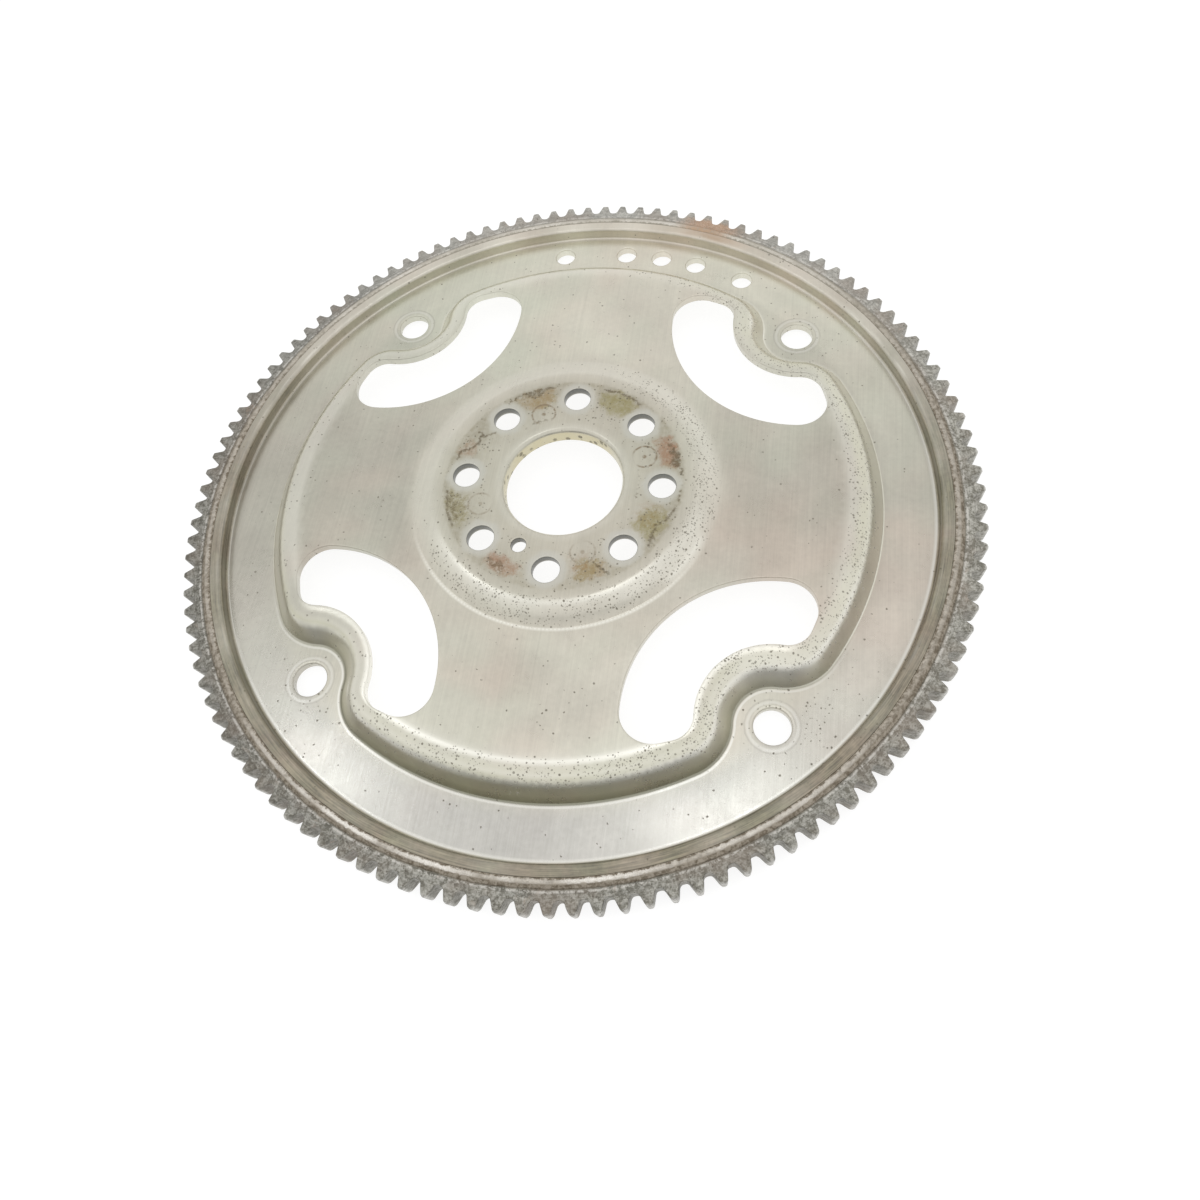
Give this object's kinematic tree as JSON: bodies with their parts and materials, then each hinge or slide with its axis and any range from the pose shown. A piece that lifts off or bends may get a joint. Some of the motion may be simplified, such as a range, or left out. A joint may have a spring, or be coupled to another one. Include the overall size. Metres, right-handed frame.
{
  "type": "flexplate",
  "caption": "Pressed steel flexplate: raised drilled hub, webbed disc with kidney windows and dropped converter pads, and a welded starter ring gear round the rim.",
  "frame": {"origin": "on the axis of rotation, in the plane of the ring gear's lower face", "axes": "+Z along the axis of rotation, towards the raised hub; the converter holes lie at 45 degrees to X and Y"},
  "size_m": [0.3064, 0.3064, 0.0177],
  "materials": {
    "plate_steel": "light warm silver-grey passivated sheet steel, fine brushing, rust and oil stains on the hub",
    "gear_steel": "dull grey-brown hardened steel, rough and pitted, with a rust patch",
    "weld_metal": "rough bright weld bead, nicked"
  },
  "bodies": {
    "root": {"drive_plate": "plate_steel", "ring_gear": "gear_steel", "rim_weld": "weld_metal"}
  },
  "joints": []
}
